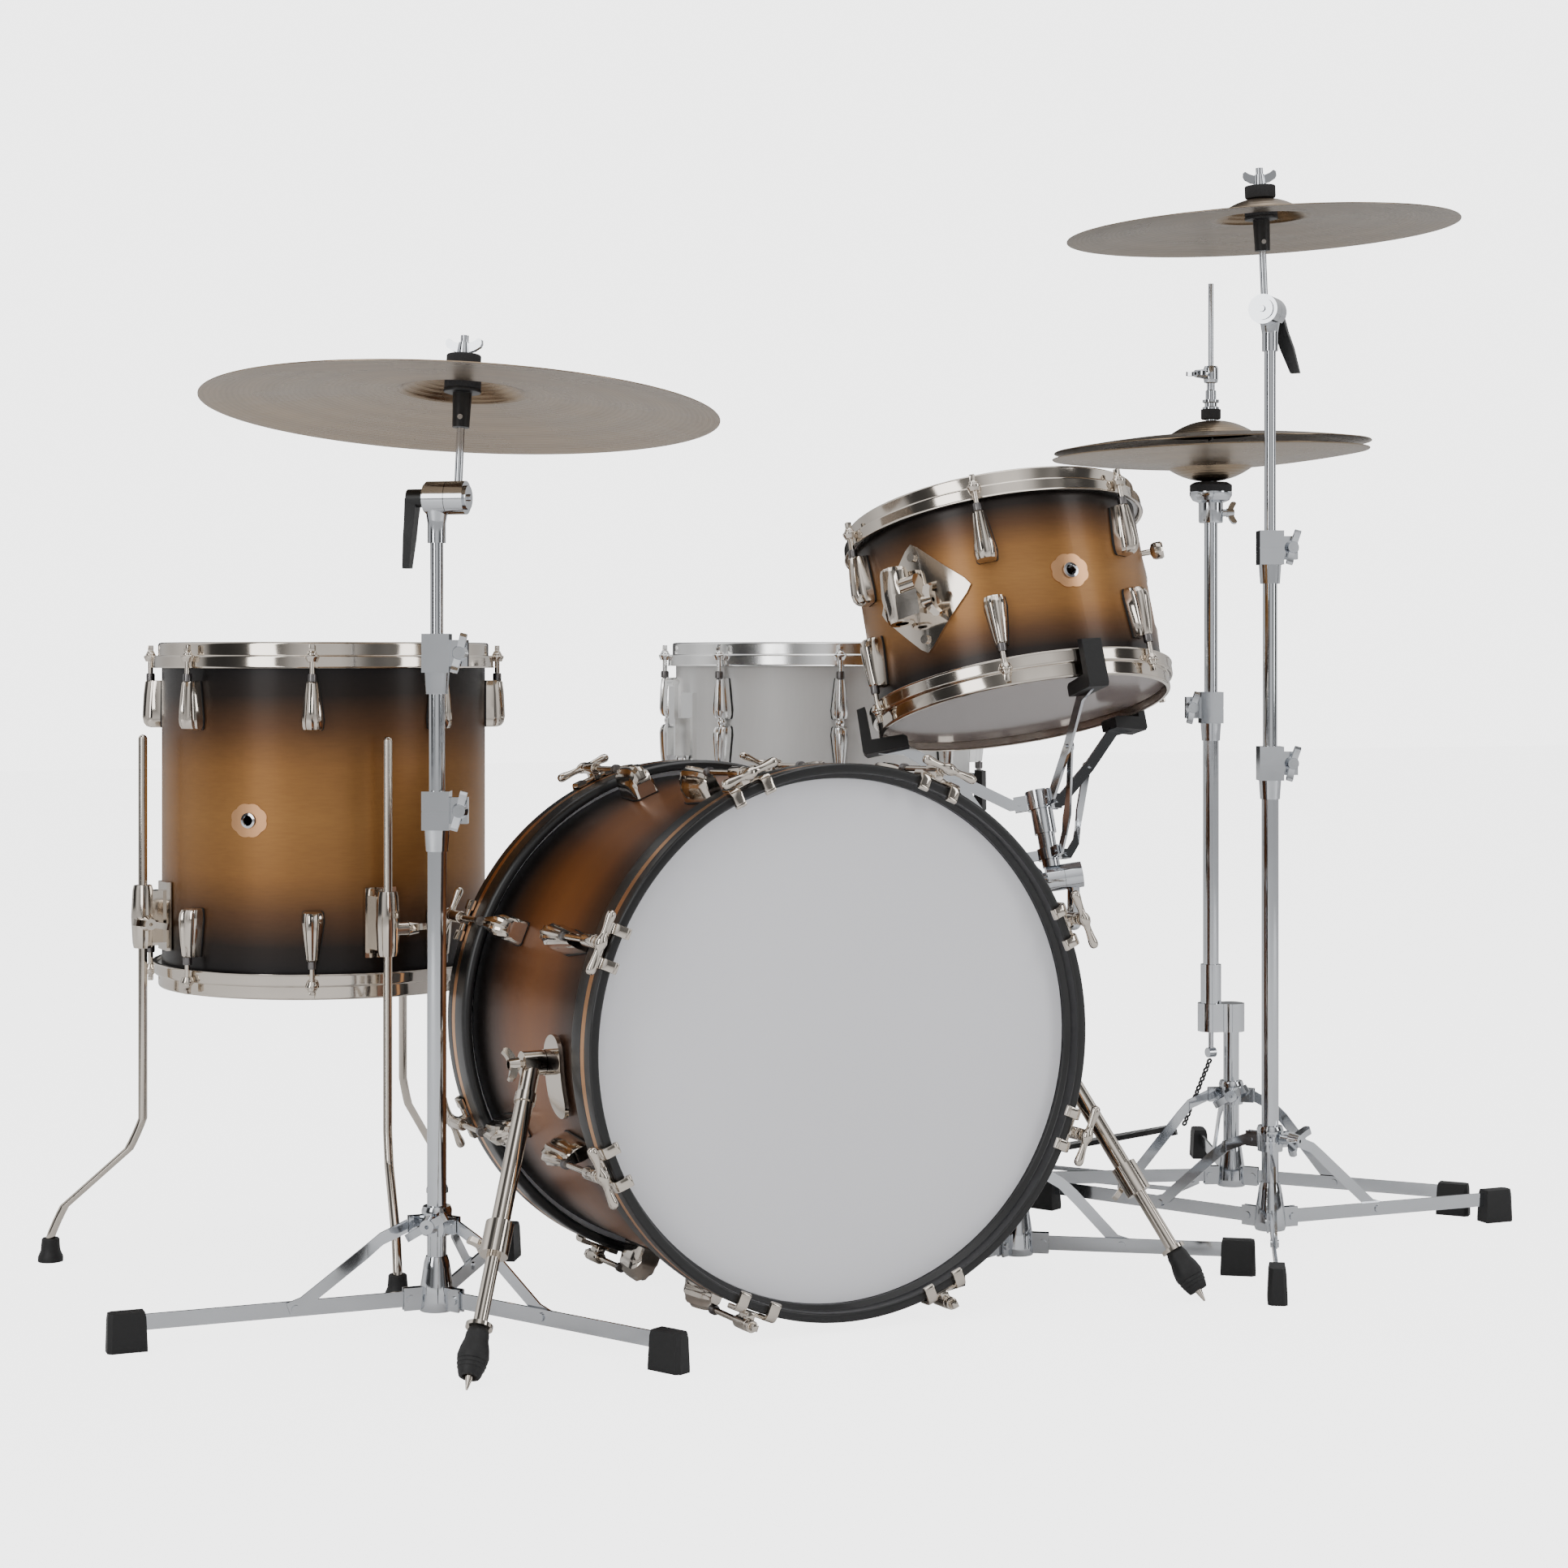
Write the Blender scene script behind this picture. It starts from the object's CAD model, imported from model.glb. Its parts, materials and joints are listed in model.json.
# %% [markdown]
# # An acoustic drum kit
# The CAD model fixes every size and joint. This script gives each piece the shape detail and the
# finish that the eye expects. Lengths are metres, with +Z up.

# %% Load the frame
import bpy, bmesh, json, math
from mathutils import Vector, Matrix

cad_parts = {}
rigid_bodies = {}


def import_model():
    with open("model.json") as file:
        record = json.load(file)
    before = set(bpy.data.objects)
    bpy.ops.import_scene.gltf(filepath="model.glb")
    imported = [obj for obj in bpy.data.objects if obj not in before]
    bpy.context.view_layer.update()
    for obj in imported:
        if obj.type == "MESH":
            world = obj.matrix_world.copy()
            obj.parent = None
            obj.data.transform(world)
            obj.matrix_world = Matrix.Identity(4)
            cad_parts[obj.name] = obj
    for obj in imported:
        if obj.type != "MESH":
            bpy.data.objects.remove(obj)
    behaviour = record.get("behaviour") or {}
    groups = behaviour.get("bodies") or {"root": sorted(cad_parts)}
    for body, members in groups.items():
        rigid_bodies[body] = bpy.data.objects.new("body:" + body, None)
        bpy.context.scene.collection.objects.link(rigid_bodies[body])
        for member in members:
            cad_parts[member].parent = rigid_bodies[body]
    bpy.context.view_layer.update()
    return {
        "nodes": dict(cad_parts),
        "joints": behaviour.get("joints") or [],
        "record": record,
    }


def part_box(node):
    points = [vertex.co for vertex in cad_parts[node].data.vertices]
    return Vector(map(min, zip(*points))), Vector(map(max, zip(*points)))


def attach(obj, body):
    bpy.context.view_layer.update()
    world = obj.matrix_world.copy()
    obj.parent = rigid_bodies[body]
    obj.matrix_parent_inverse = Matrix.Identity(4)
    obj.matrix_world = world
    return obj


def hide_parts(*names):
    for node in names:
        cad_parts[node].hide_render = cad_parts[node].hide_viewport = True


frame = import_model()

record = frame["record"]
MM = 0.001

# %% [markdown]
# The camera comes first, because everything else is judged through it. It is level and a little
# lower than the player's head. The lens is shifted down instead of the camera being tipped, which
# is how a product photographer keeps every stand upright in the picture.

# %% Camera
CAMERA_AT = Vector((-1.36887, -2.77731, 0.648))
CAMERA_TURN = -25.9          # degrees, seen from above, away from the kick drum's axis
camera_data = bpy.data.cameras.new("kit_camera")
camera_data.sensor_width = 36.0
camera_data.lens = 63.95
camera_data.shift_y = -0.0782
camera_data.clip_end = 60
camera = bpy.data.objects.new("kit_camera", camera_data)
camera.location = CAMERA_AT
camera.rotation_euler = (math.radians(90), 0, math.radians(CAMERA_TURN))
bpy.context.scene.collection.objects.link(camera)
bpy.context.scene.camera = camera
print("camera at", tuple(CAMERA_AT))

# %% [markdown]
# Shader maths is easier to read as ordinary expressions. `Value` wraps one socket of a node and
# turns `+`, `-`, `*` and `/` into Math nodes. `Finish` holds one material while it is built, and
# its `node` method makes any other node: settings first, then the values or links of its inputs.

# %% Shader helpers
class Value:
    def __init__(self, finish, socket):
        self.finish, self.socket = finish, socket

    def math(self, operation, *others):
        return self.finish.node("Math", {"operation": operation}, self, *others)[0]

    def __add__(self, other): return self.math("ADD", other)
    def __radd__(self, other): return self.math("ADD", other)
    def __sub__(self, other): return self.math("SUBTRACT", other)
    def __rsub__(self, other): return self.finish.node("Math", {"operation": "SUBTRACT"}, other, self)[0]
    def __mul__(self, other): return self.math("MULTIPLY", other)
    def __rmul__(self, other): return self.math("MULTIPLY", other)
    def __truediv__(self, other): return self.math("DIVIDE", other)


class Outputs:
    def __init__(self, finish, made):
        self.finish, self.made = finish, made

    def __getitem__(self, index):
        return Value(self.finish, self.made.outputs[index])

    def named(self, name):
        return Value(self.finish, self.made.outputs[name])


class Finish:
    def __init__(self, name):
        self.material = bpy.data.materials.new(name)
        self.material.use_nodes = True
        self.tree = self.material.node_tree
        self.tree.nodes.clear()
        self.out = self.tree.nodes.new("ShaderNodeOutputMaterial")
        self.place = self.node("TexCoord").named("Object")

    def node(self, kind, settings=None, *inputs, **named):
        made = self.tree.nodes.new("ShaderNode" + kind)
        for key, value in (settings or {}).items():
            if key == "stops":
                set_stops(made.color_ramp, value)
            else:
                setattr(made, key, value)
        for key, value in list(enumerate(inputs)) + list(named.items()):
            socket = made.inputs[key if isinstance(key, int) else key.replace("_", " ")]
            if isinstance(value, Value):
                self.tree.links.new(value.socket, socket)
            elif value is not None:
                socket.default_value = value
        return Outputs(self, made)

    def noise(self, scale, detail=3.0, stretch=None):
        where = self.place
        if stretch:
            where = self.node("Mapping", {}, self.place, Scale=stretch).named("Vector")
        return self.node("TexNoise", {}, Vector=where, Scale=scale, Detail=detail).named("Fac")

    def from_point(self, centre, settings, *other):
        """vector maths on the way from a fixed point to the shaded one"""
        away = self.node("VectorMath", {"operation": "SUBTRACT"}, self.place, tuple(centre))[0]
        return self.node("VectorMath", settings, away, *other).named("Value")

    def bump(self, height, strength, distance=0.001):
        return self.node("Bump", {}, Height=height, Strength=strength, Distance=distance).named("Normal")

    def ramp(self, value, stops):
        return self.node("ValToRGB", {"stops": stops}, value).named("Color")

    def tint(self, base, low, high, mask):
        """base colour multiplied by a grey between low and high, chosen by a 0..1 mask"""
        shade = self.ramp(mask, [(0.0, (low,) * 3), (1.0, (high,) * 3)])
        mix = self.node("Mix", {"data_type": "RGBA", "blend_type": "MULTIPLY"})
        mix.made.inputs[0].default_value = 1.0
        for index, colour in ((6, base), (7, shade)):
            if isinstance(colour, Value):
                self.tree.links.new(colour.socket, mix.made.inputs[index])
            else:
                mix.made.inputs[index].default_value = tuple(colour) + (1.0,)
        return mix[2]

    def surface(self, **sockets):
        shader = self.node("BsdfPrincipled", {}, **sockets).made
        self.tree.links.new(shader.outputs[0], self.out.inputs[0])
        return self.material


def set_stops(ramp, stops):
    while len(ramp.elements) < len(stops):
        ramp.elements.new(0.5)
    for element, (at, colour) in zip(ramp.elements, stops):
        element.position = at
        element.color = tuple(colour) + (1.0,)


print("shader helpers ready")

# %% [markdown]
# The shells are sprayed in a sunburst lacquer: golden bronze in the middle that darkens to near
# black at both ends. The spray follows the drum's own axis, so the material measures how far a
# point lies along that axis and looks the distance up in a colour ramp. A faint stretched noise is
# the metal flake and wood under the lacquer, and a clear coat gives the satin shine.

# %% Burst lacquer
def burst(name, node, axis, half, stops):
    finish = Finish(name)
    low, high = (Vector(c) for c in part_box(node))
    along = finish.from_point((low + high) / 2, {"operation": "DOT_PRODUCT"}, tuple(axis))
    cloud = finish.noise(5.0, 2.0)
    t = along.math("ABSOLUTE") / half + (cloud - 0.5) * 0.10
    grain = finish.noise(60.0, 4.0, stretch=(1, 9, 1) if abs(axis[2]) < 0.5 else (1, 1, 9))
    flake = finish.noise(900.0, 2.0)
    colour = finish.tint(finish.ramp(t, stops), 0.86, 1.12, grain)
    return finish.surface(Base_Color=colour, Metallic=0.60, Roughness=0.36 + grain * 0.08,
                          Coat_Weight=0.20, Coat_Roughness=0.20,
                          Normal=finish.bump(flake, 0.05, 0.0004))


BRONZE_STOPS = [(0.0, (0.340, 0.158, 0.042)), (0.30, (0.290, 0.130, 0.034)),
                (0.54, (0.110, 0.047, 0.016)), (0.74, (0.016, 0.009, 0.006)), (0.92, (0.005, 0.004, 0.005))]
COPPER_STOPS = [(0.0, (0.260, 0.092, 0.024)), (0.28, (0.210, 0.072, 0.019)),
                (0.50, (0.080, 0.028, 0.010)), (0.72, (0.012, 0.006, 0.005)), (0.92, (0.005, 0.004, 0.005))]
TOM_AXIS = Vector((-0.0323, 0.2769, 0.9603)).normalized()
KICK_TILT = 1.3              # degrees; the spurs lift the front off the floor
KICK_AXIS = Matrix.Rotation(math.radians(-KICK_TILT), 3, "X") @ Vector((0, 1, 0))
floor_burst = burst("floor_tom_burst", "floor_tom_shell", (0, 0, 1), 0.178, BRONZE_STOPS)
tom_burst = burst("rack_tom_burst", "rack_tom_shell", TOM_AXIS, 0.102, BRONZE_STOPS)
kick_burst = burst("kick_burst", "kick_shell", KICK_AXIS, 0.178, COPPER_STOPS)
print("burst lacquer on three shells")

# %% [markdown]
# Plated parts are mirror-like with a very slight waviness. The drum fittings are nickel, which is
# warmer than the chrome of the stands. The snare's own plating and lacquer are the palest of all.

# %% Plated metals
def plated(name, colour, rough):
    finish = Finish(name)
    smear = finish.noise(25.0, 3.0)
    wave = finish.noise(70.0, 1.0)
    return finish.surface(Base_Color=finish.tint(colour, 0.90, 1.04, smear), Metallic=1.0,
                          Roughness=rough + smear * 0.05, Normal=finish.bump(wave, 0.05, 0.0004))


nickel = plated("polished_nickel", (0.66, 0.60, 0.53), 0.07)
chrome = plated("polished_chrome", (0.62, 0.64, 0.67), 0.06)
pale_nickel = plated("pale_nickel", (0.93, 0.93, 0.92), 0.16)
dark_steel = plated("dark_steel", (0.20, 0.19, 0.19), 0.28)
copper = plated("satin_copper", (0.74, 0.40, 0.20), 0.28)
print("plated metals ready")

# %% [markdown]
# Cymbals are cast bronze, turned on a lathe and hammered. The bump mixes fine rings round the hole
# with shallow round dents, and the same rings darken the colour a little, as real tool marks do.
# The rings need the cymbal's own axis, so a tilted one measures its radius square to that axis.

# %% Cast bronze
def cast_bronze(name, hub, axis, tone):
    finish = Finish(name)
    far = finish.from_point(hub, {"operation": "LENGTH"})
    high = finish.from_point(hub, {"operation": "DOT_PRODUCT"}, tuple(axis))
    radius = (far * far - high * high).math("SQRT")
    wobble = finish.noise(40.0, 2.0)
    rings = (radius * 1150.0 + wobble * 2.0).math("SINE")
    fine = (radius * 3100.0).math("SINE")
    dents = finish.node("TexVoronoi", {"feature": "SMOOTH_F1"}, Vector=finish.place, Scale=48.0).named("Distance")
    broad = finish.noise(11.0, 3.0)
    bands = (radius * 160.0).math("SINE")
    colour = finish.tint(finish.tint(tone, 0.66, 1.20, broad), 0.86, 1.10,
                         rings * 0.25 + bands * 0.20 + 0.5)
    height = rings * 0.22 + fine * 0.06 + dents * 1.4
    return finish.surface(Base_Color=colour, Metallic=1.0, Roughness=0.20 + broad * 0.16,
                          Normal=finish.bump(height, 0.36, 0.0008))


print("cast bronze recipe ready")

# %% [markdown]
# The front head is a smooth white film, the tom's lower head is clear, and the others carry a
# sprayed coating that feels like fine paper. Rubber is nearly black with a broad shine, felt is
# all fibre, and the kick drum's wooden hoops are black lacquer with a polished surface.

# %% Heads, rubber, felt and lacquer
def film(name, colour, rough, coating, see_through=0.0):
    finish = Finish(name)
    cloud = finish.noise(3.0, 2.0)
    tooth = finish.noise(1500.0, 2.0)
    sockets = dict(Base_Color=finish.tint(colour, 0.94, 1.0, cloud), Roughness=rough + cloud * 0.04,
                   Normal=finish.bump(tooth, coating, 0.0003), Coat_Weight=0.25, Coat_Roughness=0.2)
    if see_through:
        sockets["Alpha"] = 1.0 - see_through
    return finish.surface(**sockets)


def dark_solid(name, colour, rough, pebble, coat=0.0):
    finish = Finish(name)
    skin = finish.noise(700.0, 3.0)
    wear = finish.noise(18.0, 4.0)
    return finish.surface(Base_Color=finish.tint(colour, 0.75, 1.25, wear), Roughness=rough + wear * 0.12,
                          Normal=finish.bump(skin, pebble, 0.0005), Coat_Weight=coat, Coat_Roughness=0.12)


def pale_wood_lacquer(name):
    finish = Finish(name)
    grain = finish.noise(40.0, 4.0, stretch=(8, 8, 1))
    return finish.surface(Base_Color=finish.tint((0.80, 0.80, 0.79), 0.96, 1.02, grain), Metallic=0.1,
                          Roughness=0.4 + grain * 0.05, Coat_Weight=0.3, Coat_Roughness=0.2,
                          Normal=finish.bump(finish.noise(900.0, 2.0), 0.04, 0.0003))


smooth_white = film("smooth_white_film", (0.93, 0.93, 0.97), 0.30, 0.01)
coated_white = film("coated_white_film", (0.88, 0.88, 0.87), 0.55, 0.12)
clear_film = film("clear_film", (0.50, 0.42, 0.40), 0.12, 0.01, 0.45)
rubber = dark_solid("moulded_rubber", (0.007, 0.007, 0.0075), 0.50, 0.18)
lever_plastic = dark_solid("lever_plastic", (0.006, 0.006, 0.0065), 0.34, 0.10)
hoop_black = dark_solid("black_hoop_lacquer", (0.004, 0.004, 0.0045), 0.30, 0.01, 0.15)
dark_felt = dark_solid("dark_felt", (0.035, 0.035, 0.037), 0.95, 0.9)
painted_steel = dark_solid("painted_steel", (0.020, 0.020, 0.021), 0.30, 0.03, 0.4)
pale_lacquer = pale_wood_lacquer("pale_lacquer")
print("heads, rubber, felt and lacquer ready")

# %% [markdown]
# Many fittings repeat at even steps round a drum, so Geometry Nodes place them. `Recipe` builds
# such a tree: it names the sizes that can be set, adds nodes, and always ends in Realize Instances
# and Set Material, so the result is one plain mesh. `make` runs the tree on a starting mesh.

# %% Geometry Nodes helper
class Recipe:
    def __init__(self, name, inputs):
        self.tree = bpy.data.node_groups.new(name, "GeometryNodeTree")
        face = self.tree.interface
        face.new_socket("Geometry", in_out="INPUT", socket_type="NodeSocketGeometry")
        self.ids = {}
        for label, kind in inputs + [("Finish", "Material")]:
            made = face.new_socket(label, in_out="INPUT", socket_type="NodeSocket" + kind)
            self.ids[label] = made.identifier
        face.new_socket("Geometry", in_out="OUTPUT", socket_type="NodeSocketGeometry")
        self.start = self.tree.nodes.new("NodeGroupInput")
        self.given = self.start.outputs["Geometry"]

    def size(self, label):
        return self.start.outputs[label]

    def node(self, kind, settings=None, **named):
        made = self.tree.nodes.new(kind)
        for key, value in (settings or {}).items():
            setattr(made, key, value)
        for key, value in named.items():
            name = key.replace("_", " ")
            socket = made.inputs[int(key[1:]) if key[0] == "i" and key[1:].isdigit() else name]
            if isinstance(value, bpy.types.NodeSocket):
                self.tree.links.new(value, socket)
            else:
                socket.default_value = value
        return made.outputs

    def end(self, geometry):
        real = self.node("GeometryNodeRealizeInstances", Geometry=geometry)[0]
        dressed = self.node("GeometryNodeSetMaterial", Geometry=real, Material=self.size("Finish"))[0]
        self.tree.links.new(dressed, self.tree.nodes.new("NodeGroupOutput").inputs[0])

    def make(self, start_mesh, finish, **sizes):
        worker = bpy.data.objects.new("worker", start_mesh)
        bpy.context.scene.collection.objects.link(worker)
        step = worker.modifiers.new("recipe", "NODES")
        step.node_group = self.tree
        step[self.ids["Finish"]] = finish
        for label, value in sizes.items():
            step[self.ids[label.replace("_", " ")]] = value
        depsgraph = bpy.context.evaluated_depsgraph_get()
        result = bpy.data.meshes.new_from_object(worker.evaluated_get(depsgraph))
        worker.modifiers.remove(step)
        bpy.data.objects.remove(worker)
        return result


print("geometry helper ready")

# %% [markdown]
# Two trees serve the whole kit. The first turns a profile round an axis, as a metal spinner turns a
# hoop or a cymbal: Curve to Mesh runs the profile round a circle of radius one, so the profile is
# stored one unit closer to the axis. The second sets a fitting at even steps round the drum, then
# turns the whole set end over end for the other head.

# %% Tree that turns a profile
turning = Recipe("turned_form", [("Segments", "Int")])
circle = turning.node("GeometryNodeCurvePrimitiveCircle", Resolution=turning.size("Segments"), Radius=1.0)[0]
outline = turning.node("GeometryNodeMeshToCurve", i0=turning.given)[0]
turning.end(turning.node("GeometryNodeCurveToMesh", Curve=circle, Profile_Curve=outline)[0])


def turned(profile, finish, segments=160):
    """a closed profile of (radius, height) points in millimetres, turned round Z"""
    start = bpy.data.meshes.new("profile")
    count = len(profile)
    start.from_pydata([(r * MM - 1.0, -z * MM, 0) for r, z in profile],
                      [(i, (i + 1) % count) for i in range(count)], [])
    made = turning.make(start, finish, Segments=segments)
    mesh = bmesh.new()
    mesh.from_mesh(made)
    bmesh.ops.remove_doubles(mesh, verts=mesh.verts, dist=2e-6)
    bmesh.ops.recalc_face_normals(mesh, faces=mesh.faces)
    mesh.to_mesh(made)
    mesh.free()
    return made


# %% Tree that sets fittings round a drum
spread = Recipe("fittings_round", [("Front count", "Int"), ("Back count", "Int"), ("First", "Float"),
                                   ("Step", "Float"), ("Overturn", "Vector")])
sets = []
for label in ("Front count", "Back count"):
    spots = spread.node("GeometryNodePoints", Count=spread.size(label))[0]
    number = spread.node("GeometryNodeInputIndex")[0]
    turn_by = spread.node("ShaderNodeMath", {"operation": "MULTIPLY_ADD"}, i0=number,
                          i1=spread.size("Step"), i2=spread.size("First"))[0]
    spin = spread.node("ShaderNodeCombineXYZ", Z=turn_by)[0]
    placed = spread.node("GeometryNodeInstanceOnPoints", Points=spots, Instance=spread.given)[0]
    sets.append(spread.node("GeometryNodeRotateInstances", Instances=placed, Rotation=spin,
                            Local_Space=False)[0])
sets[1] = spread.node("GeometryNodeTransform", Geometry=sets[1], Rotation=spread.size("Overturn"))[0]
joined = spread.tree.nodes.new("GeometryNodeJoinGeometry")
for part_set in sets:
    spread.tree.links.new(part_set, joined.inputs[0])
spread.end(joined.outputs[0])


def round_the_drum(fitting, finish, count, first=0.0, over="X", back=True, step=None):
    """fitting is a mesh in the drum's own frame, at the station on -Y"""
    step = 360.0 / count if step is None else step
    half_turn = (math.pi, 0.0, 0.0) if over == "X" else (0.0, math.pi, 0.0)
    return spread.make(fitting, finish, Front_count=count, Back_count=count if back else 0,
                       First=math.radians(first), Step=math.radians(step), Overturn=half_turn)


print("two Geometry Nodes trees ready")

# %% [markdown]
# Cast and pressed metal has no perfectly sharp corner, and a rounded corner is what catches the
# light. `rounded` replaces each corner of a profile by a short curve, and the small builders below
# make one fitting each: a lathe turns little parts, a loft joins sections, a bar has bevelled edges.

# %% Builders for single fittings
def rounded(profile, radius, steps=3, closed=True):
    count, out = len(profile), []
    for i, corner in enumerate(profile):
        if not closed and i in (0, count - 1):
            out.append(tuple(corner))
            continue
        corner = Vector(corner)
        before, after = Vector(profile[i - 1]), Vector(profile[(i + 1) % count])
        start = corner + (before - corner) * min(radius / max((before - corner).length, 1e-9), 0.45)
        end = corner + (after - corner) * min(radius / max((after - corner).length, 1e-9), 0.45)
        for k in range(steps + 1):
            t = k / steps
            out.append(tuple(start * (1 - t) ** 2 + corner * 2 * t * (1 - t) + end * t * t))
    return out


def mesh_from(rings, name="form", closed=True, caps=True):
    """rings of equal length, in millimetres, joined by quads"""
    n = len(rings[0])
    points = [tuple(c * MM for c in p) for ring in rings for p in ring]
    faces = []
    for a in range(len(rings) - 1):
        for b in range(n if closed else n - 1):
            faces.append((a * n + b, a * n + (b + 1) % n, (a + 1) * n + (b + 1) % n, (a + 1) * n + b))
    if caps:
        faces += [tuple(range(n))[::-1], tuple(range((len(rings) - 1) * n, len(rings) * n))]
    data = bpy.data.meshes.new(name)
    data.from_pydata(points, [], faces)
    return outward(data)


def outward(data):
    mesh = bmesh.new()
    mesh.from_mesh(data)
    bmesh.ops.remove_doubles(mesh, verts=mesh.verts, dist=2e-6)
    bmesh.ops.recalc_face_normals(mesh, faces=mesh.faces)
    mesh.to_mesh(data)
    mesh.free()
    return data


def lathe(profile, at=(0, 0, 0), axis=(0, 0, 1), segments=24):
    """small turned part: (radius, height) points along an axis"""
    swing = Vector((0, 0, 1)).rotation_difference(Vector(axis).normalized()).to_matrix()
    rings = []
    for r, z in profile:
        ring = []
        for k in range(segments):
            a = 2 * math.pi * k / segments
            ring.append(swing @ Vector((max(r, 0.001) * math.cos(a), max(r, 0.001) * math.sin(a), z)) + Vector(at))
        rings.append(ring)
    return mesh_from(rings)


def bar(low, high, bevel=0.8):
    """rectangular bar with softened edges, between two corners in millimetres"""
    mesh = bmesh.new()
    bmesh.ops.create_cube(mesh, size=1.0)
    low, high = Vector(low), Vector(high)
    for v in mesh.verts:
        v.co = Vector([(low[i] + high[i]) / 2 + v.co[i] * (high[i] - low[i]) for i in range(3)]) * MM
    bmesh.ops.bevel(mesh, geom=mesh.edges[:], offset=bevel * MM, segments=2, profile=0.5, affect="EDGES")
    data = bpy.data.meshes.new("bar")
    mesh.to_mesh(data)
    mesh.free()
    return data


def hooked_strap(path, width, thick, at_x):
    """strap whose middle line runs through (y, z) points, in millimetres"""
    section = rounded([(-width / 2, -thick / 2), (width / 2, -thick / 2), (width / 2, thick / 2),
                       (-width / 2, thick / 2)], 1.3, 2)
    rings = []
    for i, (y, z) in enumerate(path):
        before, after = path[max(i - 1, 0)], path[min(i + 1, len(path) - 1)]
        along = Vector((after[0] - before[0], after[1] - before[1])).normalized()
        side = Vector((-along.y, along.x))
        rings.append([(at_x + u, y + side.x * v, z + side.y * v) for u, v in section])
    return mesh_from(rings)


def together(*meshes, slots=None):
    """one mesh from several, each given its own material slot when slots says so"""
    whole = bmesh.new()
    for number, data in enumerate(meshes):
        before = len(whole.faces)
        whole.from_mesh(data)
        whole.faces.ensure_lookup_table()
        for face in whole.faces[before:]:
            face.material_index = slots[number] if slots else 0
    data = bpy.data.meshes.new("whole")
    whole.to_mesh(data)
    whole.free()
    return data


print("builders ready")

BODY_OF = {n: b for b, group in record["behaviour"]["bodies"].items() for n in group}
SLOT_OF = {s["node"]: s["material_slot"] for s in record["subparts"]}
made_nodes = set()


def crisp(data, crease):
    mesh = bmesh.new()
    mesh.from_mesh(data)
    limit = math.radians(crease)
    for face in mesh.faces:
        face.smooth = True
    for edge in mesh.edges:
        edge.smooth = len(edge.link_faces) == 2 and edge.calc_face_angle(0.0) < limit
    mesh.to_mesh(data)
    mesh.free()


def piece(name, data, finishes, node, place=None, crease=38.0, stands_for=True):
    if place is not None:
        data.transform(place)
    numbers = [face.material_index for face in data.polygons]
    data.materials.clear()               # this also sets every face back to slot 0
    for finish in finishes:
        data.materials.append(finish)
    if len(finishes) > 1:
        data.polygons.foreach_set("material_index", numbers)
    crisp(data, crease)
    made = bpy.data.objects.new(name, data)
    bpy.context.scene.collection.objects.link(made)
    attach(made, BODY_OF[node])
    if stands_for:
        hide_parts(node)
        made_nodes.add(node)
    return made


def middle_of(node):
    low, high = (Vector(c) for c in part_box(node))
    return (low + high) / 2


DRUM_FRAMES = {
    "kick": Matrix.Translation(middle_of("kick_shell")) @ Matrix.Rotation(math.radians(-90 - KICK_TILT), 4, "X"),
    "floor_tom": Matrix.Translation(middle_of("floor_tom_shell")) @ Matrix.Rotation(math.radians(-20.5), 4, "Z"),
    "snare": Matrix.Translation(middle_of("snare_shell")) @ Matrix.Rotation(math.radians(-20.6), 4, "Z"),
    "rack_tom": (Matrix.Translation(middle_of("rack_tom_shell"))
                 @ Vector((0, 0, 1)).rotation_difference(TOM_AXIS).to_matrix().to_4x4()
                 @ Matrix.Rotation(math.radians(-35.5), 4, "Z"))}
print("drum frames", {k: tuple(round(c, 3) for c in m.translation) for k, m in DRUM_FRAMES.items()})

# %% [markdown]
# A small drum's hoop is pressed from steel in steps: a rolled rim on top, a straight wall, a ledge
# that carries the rods, and a flared skirt. It is one closed profile turned round the drum, with an
# ear at every rod. Each rod has a washer, a collar and a square key head.

# %% Small drum hoops, ears and rods
HOOP_RISE, HOOP_SKIRT, ROD_OFFSET, ROD_RADIUS = 11.0, 17.0, 13.5, 2.8


def stepped_hoop(r, e):
    outline = [(r + 5.7, e - HOOP_SKIRT), (r + 5.7, e - 5.8), (r + 1.5, e - 5.8),
               (r + 1.5, e + HOOP_RISE - 2.6), (r - 0.9, e + HOOP_RISE - 1.2),
               (r - 0.3, e + HOOP_RISE), (r + 3.0, e + HOOP_RISE - 0.6),
               (r + 3.9, e + HOOP_RISE - 2.0), (r + 3.9, e - 3.6), (r + 8.0, e - 3.4),
               (r + 8.9, e - 5.0), (r + 9.2, e - HOOP_SKIRT + 1.5), (r + 10.4, e - HOOP_SKIRT)]
    return rounded(outline, 0.9)


def hoop_ear(r, e):
    at = (0, -r - ROD_OFFSET, 0)
    return lathe([(3.3, e - 10), (5.4, e - 10), (6.6, e - 7.2), (7.4, e - 5.6), (7.4, e - 4.0),
                  (6.9, e - 3.4), (3.3, e - 3.4)], at)


def key_rod(r, e, bottom, radius=ROD_RADIUS):
    at, top = Vector((0, -r - ROD_OFFSET, 0)), e - 3.4
    shaft = lathe([(radius, bottom), (radius, top)], at, segments=14)
    washer = lathe(rounded([(radius, top), (radius + 2.9, top), (radius + 2.9, top + 1.4),
                            (radius, top + 1.4)], 0.4, 2), at)
    collar = lathe([(radius, top + 1.4), (radius + 2.2, top + 1.4), (radius + 2.2, top + 2.3),
                    (radius + 1.5, top + 3.0), (radius + 1.2, top + 4.6), (radius, top + 4.8)], at)
    key = bar((-radius, at.y - radius, top + 4.4), (radius, at.y + radius, top + 11.4), 0.5)
    return together(shaft, washer, collar, key)


print("hoop and rod recipes ready")

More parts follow.
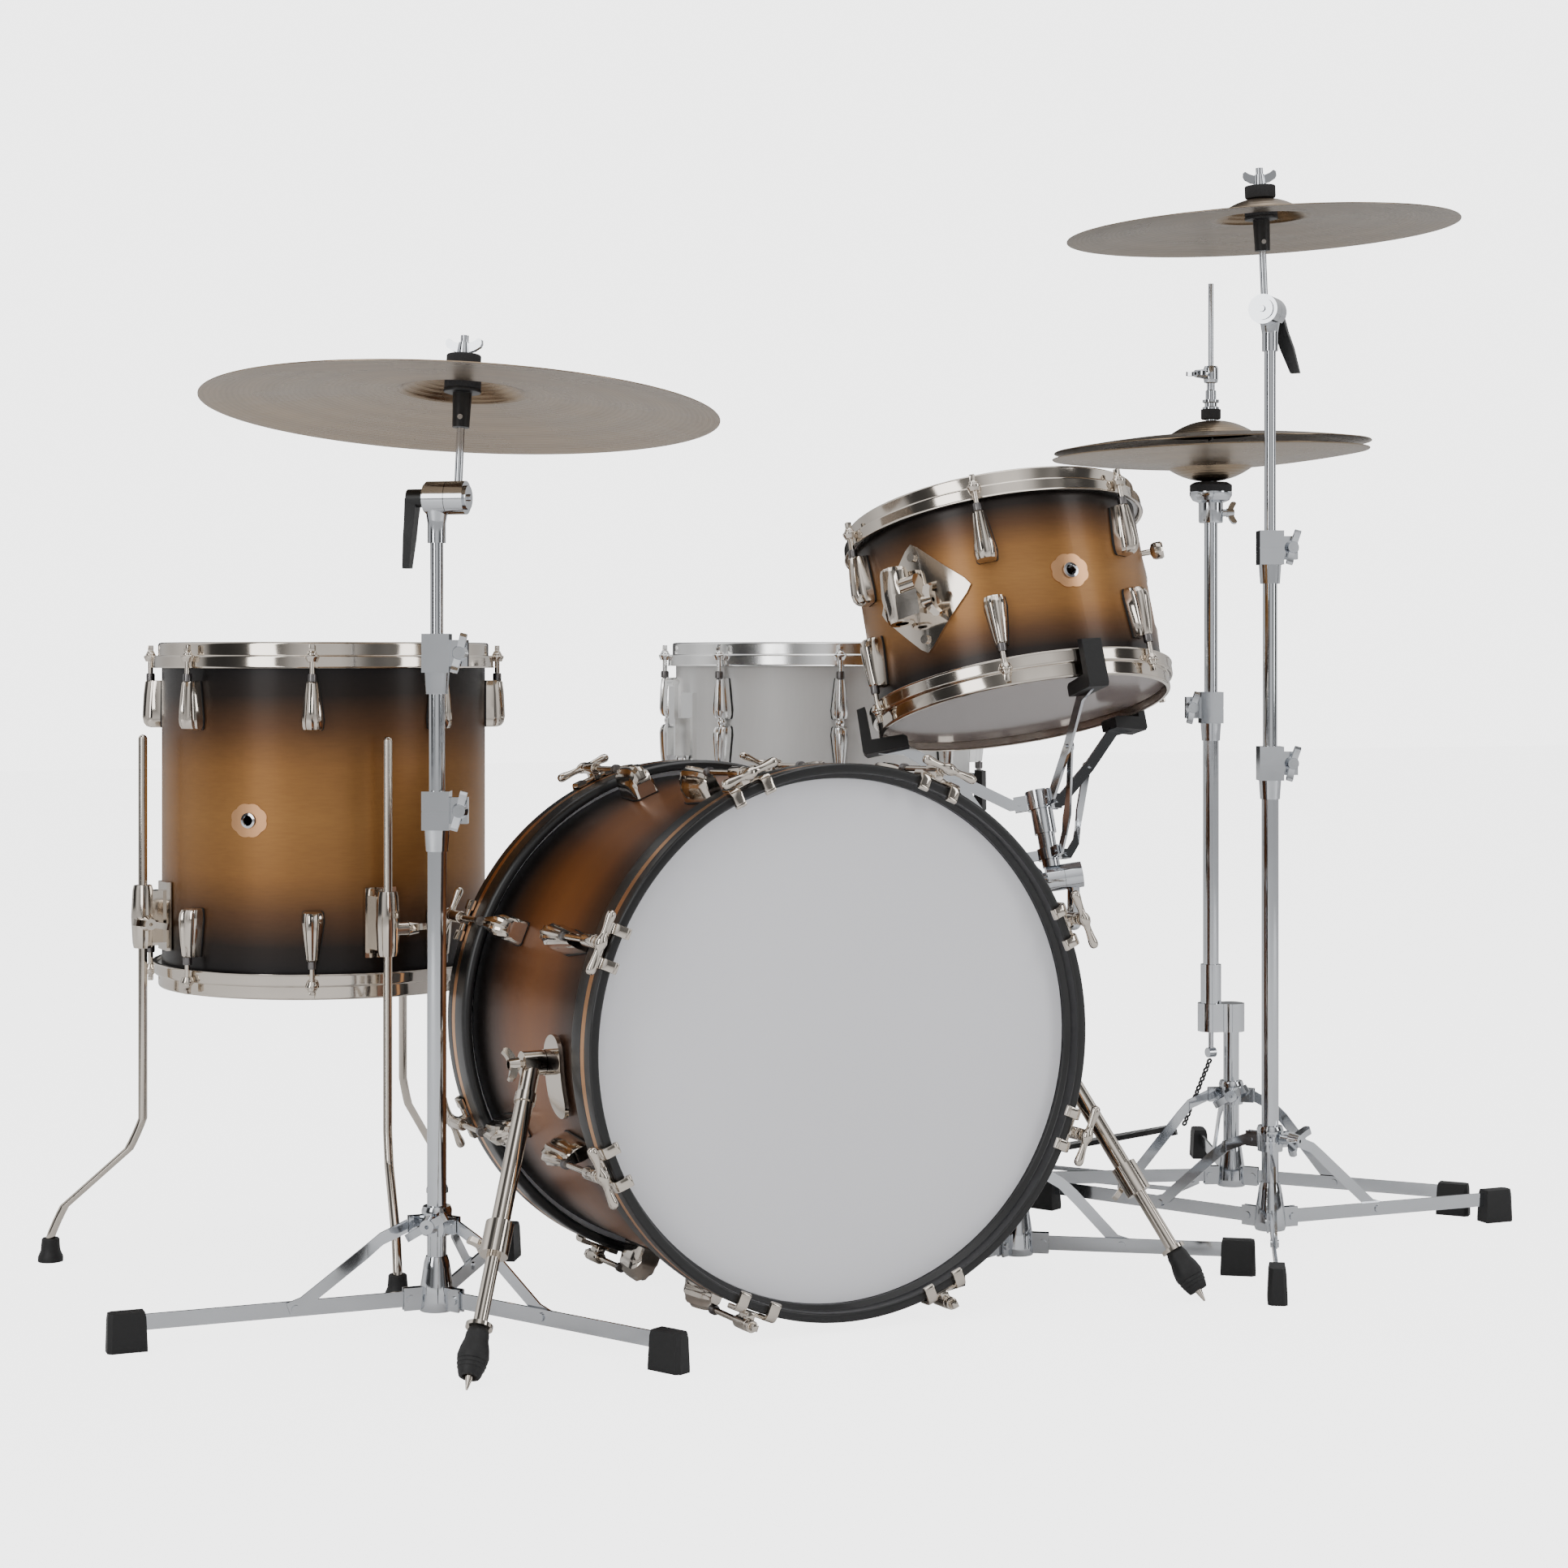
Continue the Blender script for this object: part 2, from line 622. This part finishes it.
# %% [markdown]
# A lug is a hollow casting with long flutes that meet in sharp ridges, wider towards its tail. Its
# sections are lofted in code. A thin dark gasket keeps the metal off the lacquer, and a steel
# sleeve at its mouth takes the rod.

# %% Lugs
LUG_STATIONS = ((0.0, 0.50, 0.80), (0.035, 0.56, 0.88), (0.30, 0.72, 0.95), (0.55, 0.87, 0.98),
                (0.78, 1.0, 1.0), (0.90, 0.98, 0.94), (0.97, 0.90, 0.82), (1.0, 0.74, 0.62))


def lug_section(width, height, flutes=6, samples=6):
    half = width / 2
    ring = [(0.0, -half), (height * 0.45, -half)]
    for k in range(1, flutes * samples):
        a = math.radians(-90 + 180 * k / (flutes * samples))
        hollow = 1.0 - 0.085 * math.sin(math.pi * (k % samples) / samples)
        ring.append((height * 0.45 + height * 0.55 * math.cos(a) * hollow, half * math.sin(a) * hollow))
    return ring + [(height * 0.45, half), (0.0, half)]


def lug_casing(r, length, width, height, top, upward=False):
    rings = []
    for t, w, h in LUG_STATIONS:
        z = top + length * t if upward else top - length * t
        rings.append([(y, -r - 0.3 - x, z) for x, y in lug_section(width * w, height * h)])
    return mesh_from(rings)


def lug_gasket(r, length, width, top, upward=False):
    rings = []
    for t, w, h in LUG_STATIONS[::2] + LUG_STATIONS[-1:]:
        z = top + length * t if upward else top - length * t
        half = width * w / 2 + 0.9
        rings.append([(-half, -r + 0.5, z), (-half, -r - 1.5, z), (half, -r - 1.5, z), (half, -r + 0.5, z)])
    return mesh_from(rings)


def lug_sleeve(x, top, radius=ROD_RADIUS, upward=False):
    s = -1 if upward else 1
    return lathe([(radius + 0.3, top), (radius + 2.0, top), (radius + 2.0, top + s * 6.3), (radius + 1.5, top + s * 8),
                  (radius + 0.3, top + s * 8)], (0, x, 0))


print("lug recipe ready")

# %% Dress the small drums
DRUMS = {"floor_tom": (177.8, 355.6, 8, False), "rack_tom": (152.4, 203.2, 6, False),
         "snare": (177.8, 165.1, 8, True)}
for drum, (r, depth, stations, double) in DRUMS.items():
    edge, place = depth / 2, DRUM_FRAMES[drum]
    metal = pale_nickel if drum == "snare" else nickel
    top = turned(stepped_hoop(r, edge), metal)
    bottom = turned([(x, -z) for x, z in stepped_hoop(r, edge)][::-1], metal)
    ears = round_the_drum(hoop_ear(r, edge), metal, stations)
    piece(drum + "_stepped_hoops", together(top, bottom, ears), [metal], drum + "_hoops", place)
    lug_top = edge - HOOP_SKIRT - 14.0
    rods = round_the_drum(key_rod(r, edge, lug_top + 1.0), metal, stations)
    piece(drum + "_key_rods", rods, [metal], drum + "_rods", place)
    length, width, height = (lug_top - 4, 23.0 * 0.8, 22.0 * 0.9) if double else (52.0, 23.0, 22.0)
    casing = lug_casing(r, length, width, height, lug_top)
    gasket = lug_gasket(r, length, width, lug_top)
    sleeve = lug_sleeve(-r - ROD_OFFSET, lug_top)
    sets = [round_the_drum(casing, metal, stations), round_the_drum(gasket, rubber, stations),
            round_the_drum(sleeve, dark_steel, stations)]
    finish_of = [0, 1, 2]
    if double:
        waist = lathe([(0, -5), (4.2, -4.6), (5.4, -2), (5.8, 0), (5.4, 2), (4.2, 4.6), (0, 5)], (0, -r - 8.5, 0))
        sets.append(round_the_drum(waist, metal, stations, back=False))
        finish_of.append(0)
    piece(drum + "_fluted_lugs", together(*sets, slots=finish_of), [metal, rubber, dark_steel],
          drum + "_lugs", place, crease=24.0)
    print(drum, "has", stations, "stations, lug length", round(length, 1))

# %% [markdown]
# The kick drum's hoops are bent wood in black lacquer, with a groove that holds a thin copper
# strip. Their rounded edges are what shows as a bright line, so the profile rounds every corner.

# %% Kick hoops
KICK_R, KICK_HOOP_R, KICK_D = 254.0, 270.0, 403.6
HOOP_INNER = KICK_HOOP_R - 9.5
INLAY_LOW, INLAY_HIGH, INLAY_FLOOR = 15.5, 24.5, KICK_HOOP_R - 1.2


def kick_hoop_outline():
    front = [(KICK_HOOP_R - 1.5, 0), (KICK_HOOP_R, 1.5), (KICK_HOOP_R, INLAY_LOW), (INLAY_FLOOR, INLAY_LOW),
             (INLAY_FLOOR, INLAY_HIGH), (KICK_HOOP_R, INLAY_HIGH), (KICK_HOOP_R, 46), (KICK_HOOP_R - 0.8, 49),
             (KICK_HOOP_R - 3, 51.2), (KICK_HOOP_R - 6, 52)]
    back = [(HOOP_INNER, 52), (HOOP_INNER, 24.9), (KICK_R + 1.5, 24.9), (KICK_R + 1.5, 19),
            (HOOP_INNER, 15), (HOOP_INNER, 1.5), (HOOP_INNER + 1.5, 0)]
    return rounded(front + back, 0.8)


def both_ends(outline):
    """the same profile at the front and, mirrored, at the batter end"""
    return (turned([(x, z - KICK_D / 2) for x, z in outline], None, 224),
            turned([(x, KICK_D / 2 - z) for x, z in outline][::-1], None, 224))


kick_place = DRUM_FRAMES["kick"]
piece("kick_bent_hoops", together(*both_ends(kick_hoop_outline())), [hoop_black], "kick_hoops", kick_place)
strip = [(INLAY_FLOOR, INLAY_LOW), (KICK_HOOP_R - 0.1, INLAY_LOW), (KICK_HOOP_R - 0.1, INLAY_HIGH),
         (INLAY_FLOOR, INLAY_HIGH)]
piece("kick_copper_strips", together(*both_ends(strip)), [copper], "kick_hoop_inlays", kick_place)
print("kick hoops turned")

# %% [markdown]
# Each claw is a casting that hooks over the hoop with two rounded fingers and carries the rod in a
# barrel between them. Most rods end in a T-handle, and the two lowest, next to the floor, in a
# square key. The same tree spreads them, but overturned about Y so that both heads match.

# %% Kick claws, rods and lugs
ROD_CIRCLE = KICK_HOOP_R + 14.0
FRONT = -KICK_D / 2


def claw_mesh():
    out, fingers = -KICK_HOOP_R - 2.9, []
    path = rounded([(out, FRONT + 15), (out, FRONT - 2.9), (-KICK_HOOP_R + 12.5, FRONT - 2.9)], 5.5, 5, False)
    for x in (-17.0, 17.0):
        fingers.append(hooked_strap(path, 11.0, 5.0, x))
        fingers.append(lathe(rounded([(0.01, -5.5), (3.0, -5.5), (3.0, 5.5), (0.01, 5.5)], 1.0, 2),
                             (x, -KICK_HOOP_R + 11.5, FRONT - 3.0), (1, 0, 0), 18))
    barrel = lathe(rounded([(3.5, 2), (6.4, 2), (6.4, 27), (3.5, 27)], 1.1, 3), (0, -ROD_CIRCLE, FRONT))
    bridge = bar((-21, -KICK_HOOP_R - 5.3, FRONT + 5), (21, -KICK_HOOP_R - 0.9, FRONT + 13), 1.3)
    web = bar((-4.6, -ROD_CIRCLE + 1, FRONT + 4), (4.6, -KICK_HOOP_R - 2, FRONT + 23), 1.2)
    return together(*fingers, barrel, bridge, web)


def kick_rod(handle):
    at = (0, -ROD_CIRCLE, FRONT)
    shaft = lathe([(3.0, -8), (3.0, 85)], at, segments=14)
    collar = lathe(rounded([(3.0, -4.5), (6.2, -4.5), (6.2, 1.6), (3.0, 1.6)], 0.9, 2), at)
    if not handle:
        return together(shaft, collar, bar((-3.2, -ROD_CIRCLE - 3.2, FRONT - 12),
                                           (3.2, -ROD_CIRCLE + 3.2, FRONT - 4), 0.6))
    half = [(0.0, -27 - 4.8), (2.6, -27 - 4.2), (4.3, -27 - 2.4), (4.8, -27), (4.7, -24), (3.9, -18), (3.4, -12),
            (3.6, -7), (5.2, -4.2), (6.2, 0)]
    grip = half + [(r, -x) for r, x in half[:-1][::-1]]
    return together(shaft, collar, lathe(grip, (0, -ROD_CIRCLE, FRONT - 11), (1, 0, 0)))


claws = round_the_drum(claw_mesh(), nickel, 8, 22.5, "Y")
piece("kick_hook_claws", claws, [nickel], "kick_claws", kick_place)
rods = together(round_the_drum(kick_rod(True), nickel, 6, 247.5, "Y", step=45.0),
                round_the_drum(kick_rod(False), nickel, 2, 157.5, "Y", step=45.0))
piece("kick_tension_rods", rods, [nickel], "kick_rods", kick_place)
lug_at = FRONT + 86.0
lugs = [round_the_drum(lug_casing(KICK_R, 58.0, 25.8, 36.0, lug_at, True), nickel, 8, 22.5, "Y"),
        round_the_drum(lug_gasket(KICK_R, 58.0, 25.8, lug_at, True), rubber, 8, 22.5, "Y"),
        round_the_drum(lug_sleeve(-ROD_CIRCLE, lug_at, 3.0, True), dark_steel, 8, 22.5, "Y")]
piece("kick_fluted_lugs", together(*lugs, slots=[0, 1, 2]), [nickel, rubber, dark_steel], "kick_lugs",
      kick_place, crease=24.0)
print("kick drum dressed with 16 claws, rods and lugs")

# %% [markdown]
# A cymbal's shape follows a rule: a raised bell, then a bow that steepens slowly to the edge. The
# same turning tree makes it from that rule. Its hub and axis come from the joint it spins on, so it
# sits exactly where the CAD cymbal does.

# %% Cymbals
THICK = 1.6
HANG = {"ride": (254.0, (62.0, 21.0, 20.0), 5.5), "crash": (215.9, (52.0, 20.0, 16.0), 5.5),
        "hihat_top": (190.5, (52.0, 17.0, 15.0), 8.0), "hihat_bottom": (190.5, (52.0, 17.0, 15.0), 8.0)}


def bow_outline(radius, shape, hole):
    bell, bell_height, bow = shape
    top = []
    for i in range(25):
        r = hole + (bell - hole) * i / 24
        top.append((r, -bell_height * (r / bell) ** 2.2))
    for i in range(1, 37):
        t = i / 36
        top.append((bell + (radius - bell) * t, -bell_height - bow * (0.55 * t + 0.45 * t * t)))
    edge = top[-1]
    rim = [(edge[0], edge[1] - 0.5), (edge[0], edge[1] - 1.1)]
    return top[:-1] + [(edge[0] - 0.5, edge[1] + 0.02)] + rim + [(r, z - THICK) for r, z in top[:-1][::-1]]


def hang_cymbal(name, hub, axis, overturned=False):
    radius, shape, hole = HANG[name]
    node = name + "_cymbal"
    swing = Vector((0, 0, 1)).rotation_difference(axis).to_matrix().to_4x4()
    outline = bow_outline(radius, shape, hole)
    if overturned:
        outline = [(r, -z) for r, z in outline][::-1]
    tone = {"ride": (0.33, 0.245, 0.165), "crash": (0.30, 0.235, 0.170)}.get(name, (0.30, 0.225, 0.150))
    bronze = cast_bronze(name + "_bronze", hub, axis, tone)
    piece(name + "_turned_cymbal", turned(outline, None, 208), [bronze], node,
          Matrix.Translation(hub) @ swing, crease=50.0)


SPIN = {j["child"]: (Vector(j["pos_m"]), Vector(j["axis"])) for j in frame["joints"] if "spin" in j["name"]}
for name, body, hub_height in (("ride", "ride_cymbal", 0.935), ("crash", "crash_cymbal", 1.162),
                               ("hihat_top", "hihat_top", 0.940)):
    start, axis = SPIN[body]
    hang_cymbal(name, start + axis * ((hub_height - start.z) / axis.z), axis)
hat_at = SPIN["hihat_top"][0]
hang_cymbal("hihat_bottom", Vector((hat_at.x, hat_at.y, 0.8662)),
            Vector((-0.027, 0.013, 0.9995)).normalized(), True)
print("four cymbals hung")

# %% [markdown]
# The rest of the hardware keeps its CAD shape. A CAD solid arrives as loose flat triangles, so each
# one is copied, its corners are merged, and only sharp edges stay crisp. A node can hold several
# solids, and each connected island gets its finish from a rule on the island's size and place.

# %% Copies of the CAD hardware
def islands(mesh):
    left, groups = set(mesh.verts), []
    while left:
        seed = left.pop()
        stack, group = [seed], [seed]
        while stack:
            for edge in stack.pop().link_edges:
                for v in edge.verts:
                    if v in left:
                        left.remove(v)
                        stack.append(v)
                        group.append(v)
        groups.append(group)
    return groups


def smooth_copy(node, finishes, rule=None, crease=32.0):
    mesh = bmesh.new()
    mesh.from_mesh(frame["nodes"][node].data)
    bmesh.ops.remove_doubles(mesh, verts=mesh.verts, dist=1e-6)
    if rule:
        for group in islands(mesh):
            low = Vector([min(v.co[i] for v in group) for i in range(3)])
            high = Vector([max(v.co[i] for v in group) for i in range(3)])
            number = rule(low, high, len(group))
            for face in {f for v in group for f in v.link_faces}:
                face.material_index = number
    data = bpy.data.meshes.new(node + "_smooth")
    mesh.to_mesh(data)
    mesh.free()
    return piece(node + "_finished", data, finishes, node, crease=crease)


SLOT_FINISH = {"ghost_lacquer": pale_lacquer, "kick_head": smooth_white, "clear_head": clear_film,
               "coated_head": coated_white, "black_hoop": hoop_black, "copper_inlay": copper,
               "nickel": nickel, "pale_nickel": pale_nickel, "chrome": chrome, "rubber": rubber}


def extent(low, high):
    return [high[i] - low[i] for i in range(3)]


def is_round(low, high):
    """felts are as wide as they are deep, and wing nuts are not"""
    wide, deep, _ = extent(low, high)
    return abs(wide - deep) < 0.0025


def leg_rule(low, high, size):
    return 1 if high[2] < 0.06 else 0


def spur_rule(low, high, size):
    return 1 if high[2] - low[2] < 0.055 and low[2] > 0.004 else 0


def lever_rule(low, high, size):
    """the clamp lever is the only island that is neither the pipe nor the tilter's fixed half"""
    return 1 if 0.066 < high[2] - low[2] < 0.095 and max(extent(low, high)[:2]) < 0.05 else 0


def tilter_rule(low, high, size):
    width, height = max(extent(low, high)[:2]), high[2] - low[2]
    if height > 0.060 or width < 0.010:
        return 0
    if height > 0.030:
        return 1
    return 2 if width > 0.031 and is_round(low, high) else 0


def seat_rule(low, high, size):
    width, height = max(extent(low, high)[:2]), high[2] - low[2]
    return 1 if width > 0.023 and 0.0075 < height < 0.0135 and is_round(low, high) else 0


def basket_rule(low, high, size):
    return 1 if low[2] > 0.455 else 0


def badge_rule(low, high, size):
    return 1 if max(extent(low, high)) < 0.022 else 0


def upper_head_rule(low, high, size):
    return 1 if high[2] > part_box("rack_tom_shell")[1].z else 0


RULES = {"rack_tom_heads": (upper_head_rule, coated_white),
         "floor_tom_leg_1": (leg_rule, rubber), "floor_tom_leg_2": (leg_rule, rubber),
         "floor_tom_leg_3": (leg_rule, rubber), "spur_rod_left": (spur_rule, rubber),
         "spur_rod_right": (spur_rule, rubber), "ride_stand_upper_tube": (lever_rule, lever_plastic),
         "crash_stand_upper_tube": (lever_rule, lever_plastic),
         "ride_tilter": (tilter_rule, lever_plastic, dark_felt),
         "crash_tilter": (tilter_rule, lever_plastic, dark_felt),
         "hihat_upper_tube": (seat_rule, dark_felt), "hihat_clutch": (seat_rule, dark_felt),
         "snare_basket": (basket_rule, rubber), "floor_tom_badge": (badge_rule, chrome),
         "rack_tom_badge": (badge_rule, chrome)}
FIRST = {"kick_shell": kick_burst, "floor_tom_shell": floor_burst, "rack_tom_shell": tom_burst,
         "hihat_footboard": painted_steel}
for node in frame["nodes"]:
    if node in made_nodes or node == "hihat_pull_rod":
        continue
    first = FIRST.get(node) or SLOT_FINISH[SLOT_OF[node]]
    rule, *others = RULES.get(node, (None,))
    smooth_copy(node, [first] + others, rule)
print("copied", len(frame["nodes"]) - len(made_nodes) - 1, "CAD nodes")

# %% [markdown]
# The hi-hat's pull rod ends in a roller chain that the footboard pulls. The CAD holds plain bars
# there. A third tree sets links along the line between the two ends and turns every second one by a
# quarter, as in a real chain.

# %% Hi-hat rod and chain
chain = Recipe("chain_links", [("Count", "Int"), ("From", "Vector"), ("Along", "Vector")])
row = chain.node("GeometryNodeMeshLine", Count=chain.size("Count"), Start_Location=chain.size("From"),
                 Offset=chain.size("Along"))[0]
link_number = chain.node("GeometryNodeInputIndex")[0]
quarter = chain.node("ShaderNodeMath", {"operation": "MULTIPLY"}, i0=link_number, i1=math.pi / 2)[0]
roll = chain.node("ShaderNodeCombineXYZ", Z=quarter)[0]
aim = chain.node("FunctionNodeAlignRotationToVector", {"axis": "Z"}, Rotation=roll, Vector=chain.size("Along"))[0]
chain.end(chain.node("GeometryNodeInstanceOnPoints", Points=row, Instance=chain.given, Rotation=aim)[0])


def chain_link(length, width, wire):
    rings, half, bend = [], length / 2 - width / 2, width / 2 - wire
    for k in range(24):
        a = 2 * math.pi * k / 24
        centre = Vector((bend * math.cos(a), 0, bend * math.sin(a) + (half if math.sin(a) >= 0 else -half)))
        out = Vector((math.cos(a), 0, math.sin(a)))
        rings.append([centre + out * (wire * math.cos(b)) + Vector((0, wire * math.sin(b), 0))
                      for b in (2 * math.pi * m / 8 for m in range(8))])
    return mesh_from(rings + rings[:1], caps=False)


mesh = bmesh.new()
mesh.from_mesh(frame["nodes"]["hihat_pull_rod"].data)
bmesh.ops.remove_doubles(mesh, verts=mesh.verts, dist=1e-6)
bars = []
for group in islands(mesh):
    low = Vector([min(v.co[i] for v in group) for i in range(3)])
    high = Vector([max(v.co[i] for v in group) for i in range(3)])
    if high.z - low.z < 0.04:
        bars.append((low + high) / 2)
        bmesh.ops.delete(mesh, geom=group, context="VERTS")
rod_data = bpy.data.meshes.new("pull_rod")
mesh.to_mesh(rod_data)
mesh.free()
bars.sort(key=lambda c: c.z)
reach = bars[-1] - bars[0]
links = 15
chain_mesh = chain.make(chain_link(reach.length / MM / links * 1.42, 7.4, 1.3), painted_steel, Count=links,
                        From=bars[0], Along=reach / (links - 1))
piece("hihat_rod_and_chain", together(rod_data, chain_mesh, slots=[0, 1]), [chrome, painted_steel],
      "hihat_pull_rod")
print("chain of", links, "links over", round(reach.length, 3), "m")

# %% [markdown]
# A photographer lights plated metal with large white cards and leaves dark gaps between them, since
# chrome only shows what surrounds it. The world gives that surround: bright above, and upright
# light and dark bands all round. Area lights model the drums, and the floor is a plain pale sheet.

FLOOR_HALF = 14.0
FLOOR_GLOW, FLOOR_GLOW_SHARE = 8.4, 0.40
SURROUND_LIT, SURROUND_SEEN = 0.85, 3.9


def floor_sheet():
    data = bpy.data.meshes.new("studio_floor")
    data.from_pydata([(-FLOOR_HALF, -FLOOR_HALF, 0), (FLOOR_HALF, -FLOOR_HALF, 0),
                      (FLOOR_HALF, FLOOR_HALF, 0), (-FLOOR_HALF, FLOOR_HALF, 0)], [], [(0, 1, 2, 3)])
    sheet = bpy.data.objects.new("studio_floor", data)
    bpy.context.scene.collection.objects.link(sheet)
    finish = Finish("pale_floor")
    cloud = finish.noise(0.7, 2.0)
    paper = finish.node("BsdfDiffuse", {}, finish.tint((0.90, 0.90, 0.90), 0.99, 1.0, cloud))[0]
    glow = finish.node("Emission", {}, (1, 1, 1, 1), FLOOR_GLOW)[0]
    share = finish.node("LightPath").named("Is Camera Ray") * FLOOR_GLOW_SHARE
    seen_glow = finish.node("MixShader", {}, share, paper, glow)[0]
    finish.tree.links.new(seen_glow.socket, finish.out.inputs[0])
    data.materials.append(finish.material)


floor_sheet()
print("floor laid")

# %% Lights
def area_light(name, at, aim, size, power):
    data = bpy.data.lights.new(name, "AREA")
    data.shape, data.size, data.size_y, data.energy = "RECTANGLE", size[0], size[1], power
    lamp = bpy.data.objects.new(name, data)
    lamp.location = at
    lamp.rotation_euler = (Vector(aim) - Vector(at)).to_track_quat("-Z", "Y").to_euler()
    bpy.context.scene.collection.objects.link(lamp)


area_light("left_card", (-3.4, -1.6, 1.9), (0, 0, 0.4), (1.2, 2.8), 50)
area_light("right_card", (2.6, -3.2, 1.8), (0, 0, 0.5), (1.0, 2.6), 36)
area_light("top_card", (0, -0.3, 3.4), (0, 0, 0), (3.0, 3.0), 45)


class WorldRecipe(Finish):
    """the same node helper, for the world's own tree"""
    def __init__(self, world):
        world.use_nodes = True
        self.tree = world.node_tree
        self.tree.nodes.clear()
        self.out = self.tree.nodes.new("ShaderNodeOutputWorld")


world = bpy.data.worlds.new("studio")
bpy.context.scene.world = world
sky = WorldRecipe(world)
where = sky.node("TexCoord").named("Generated")
parts_of = sky.node("SeparateXYZ", {}, where)
height, azimuth = parts_of[2], parts_of[1].math("ARCTAN2", parts_of[0])


def greys(*stops):
    """ramp stops from places and one grey level each"""
    return [(at, (level, level, level)) for at, level in stops]


by_height = sky.ramp(height * 0.5 + 0.5, greys((0.0, 0.60), (0.46, 0.85), (0.505, 0.75),
                                               (0.60, 0.80), (0.75, 1.1), (1.0, 1.35)))
waves = (azimuth * 3.0 + 0.9).math("SINE") * 0.5 + (azimuth * 7.0 + 2.1).math("SINE") * 0.22
bands = sky.ramp(waves * 0.5 + 0.5, greys((0.0, 0.03), (0.36, 0.10), (0.50, 0.75), (0.75, 1.25)))
mix = sky.node("Mix", {"data_type": "RGBA", "blend_type": "MULTIPLY"})
mix.made.inputs[0].default_value = 1.0
sky.tree.links.new(by_height.socket, mix.made.inputs[6])
sky.tree.links.new(bands.socket, mix.made.inputs[7])
lit = sky.node("Background", {}, mix[2], SURROUND_LIT)[0]
seen = sky.node("Background", {}, (1, 1, 1, 1), SURROUND_SEEN)[0]
pick = sky.node("MixShader", {}, sky.node("LightPath").named("Is Camera Ray"), lit, seen)[0]
sky.tree.links.new(pick.socket, sky.out.inputs[0])
print("lights and surround ready")
